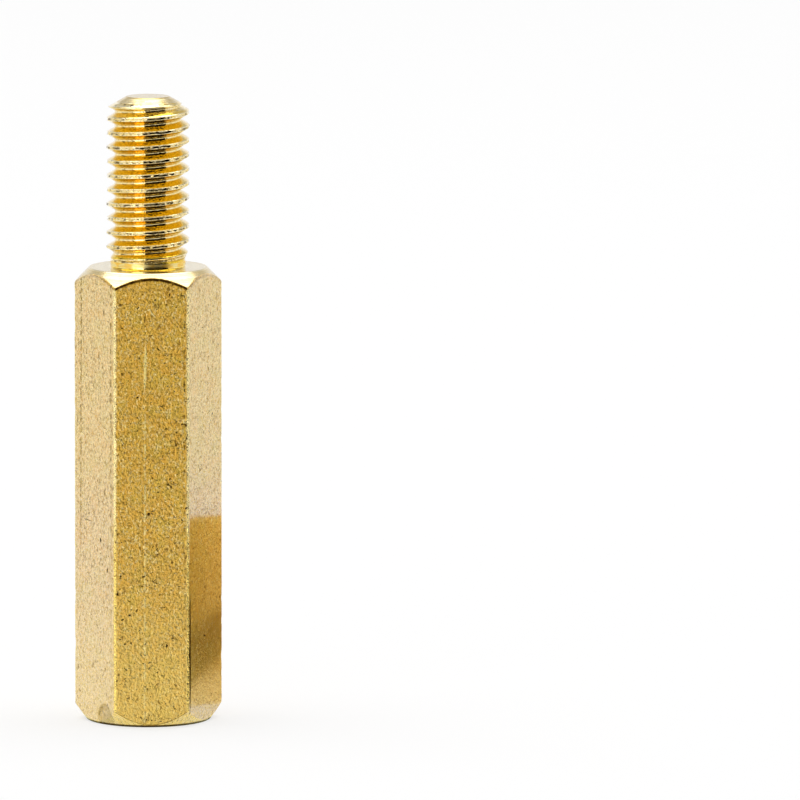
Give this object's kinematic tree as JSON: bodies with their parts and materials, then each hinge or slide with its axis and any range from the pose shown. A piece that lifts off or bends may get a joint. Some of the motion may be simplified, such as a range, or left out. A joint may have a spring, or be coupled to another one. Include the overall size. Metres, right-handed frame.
{
  "type": "hex standoff",
  "caption": "Male-female hexagonal brass standoff: a hex body with a tapped hole in its foot, and a threaded stud on a neck above a chamfered shoulder.",
  "frame": {"origin": "middle of the foot face, the end with the tapped hole, which the part stands on", "axes": "+Z along the axis towards the stud's tip; +Y and -Y out of two opposite flats, +X and -X through two opposite corners"},
  "size_m": [0.0052, 0.0046, 0.022],
  "materials": {
    "brass": "drawn flats with a fine tumbled grain, turned and polished ends, rolled thread on the stud"
  },
  "bodies": {
    "root": {"standoff": "brass"}
  },
  "joints": []
}
